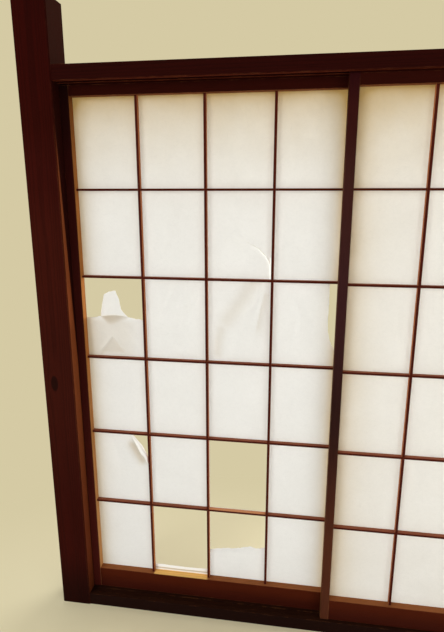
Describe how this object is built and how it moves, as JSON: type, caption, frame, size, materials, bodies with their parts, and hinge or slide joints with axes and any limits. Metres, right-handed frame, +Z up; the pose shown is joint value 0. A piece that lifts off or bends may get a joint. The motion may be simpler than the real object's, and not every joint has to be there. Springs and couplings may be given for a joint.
{
  "type": "shoji sliding screen",
  "caption": "Two sliding paper screens with a woven wooden lattice, in a frame of posts, grooved head and grooved sill. Some cells of paper are torn.",
  "frame": {"origin": "on the ground, midway between the posts and midway through their depth", "axes": "+X along the opening, +Y from the room towards the outside, +Z up"},
  "size_m": [1.923, 0.105, 2.03],
  "materials": {
    "post_wood": "dark red-brown stain, satin",
    "track_wood": "dark red-brown stain, satin",
    "panel_wood": "dark red-brown stain, satin",
    "lattice_wood": "dark red-brown stain, satin",
    "paper": "translucent fibrous paper, matt"
  },
  "bodies": {
    "frame": {"left_post": "post_wood", "right_post": "post_wood", "head_track": "track_wood", "sill_track": "track_wood"},
    "rear_panel": {"rear_left_stile": "panel_wood", "rear_right_stile": "panel_wood", "rear_top_rail": "panel_wood", "rear_bottom_rail": "panel_wood", "rear_upright_bar_1": "lattice_wood", "rear_upright_bar_2": "lattice_wood", "rear_upright_bar_3": "lattice_wood", "rear_cross_bar_1": "lattice_wood", "rear_cross_bar_2": "lattice_wood", "rear_cross_bar_3": "lattice_wood", "rear_cross_bar_4": "lattice_wood", "rear_cross_bar_5": "lattice_wood", "rear_paper_1": "paper", "rear_paper_2": "paper", "rear_paper_3": "paper", "rear_paper_4": "paper", "rear_paper_5": "paper", "rear_paper_6": "paper"},
    "front_panel": {"front_left_stile": "panel_wood", "front_right_stile": "panel_wood", "front_top_rail": "panel_wood", "front_bottom_rail": "panel_wood", "front_upright_bar_1": "lattice_wood", "front_upright_bar_2": "lattice_wood", "front_upright_bar_3": "lattice_wood", "front_cross_bar_1": "lattice_wood", "front_cross_bar_2": "lattice_wood", "front_cross_bar_3": "lattice_wood", "front_cross_bar_4": "lattice_wood", "front_cross_bar_5": "lattice_wood", "front_paper_1": "paper", "front_paper_2": "paper", "front_paper_3": "paper", "front_paper_4": "paper", "front_paper_5": "paper", "front_paper_6": "paper"}
  },
  "joints": [
    {"name": "rear_panel_slide", "type": "slide", "parent": "frame", "child": "rear_panel", "axis": [1, 0, 0], "range_m": [0, 0.8387]},
    {"name": "front_panel_slide", "type": "slide", "parent": "frame", "child": "front_panel", "axis": [-1, 0, 0], "range_m": [0, 0.8387]}
  ]
}
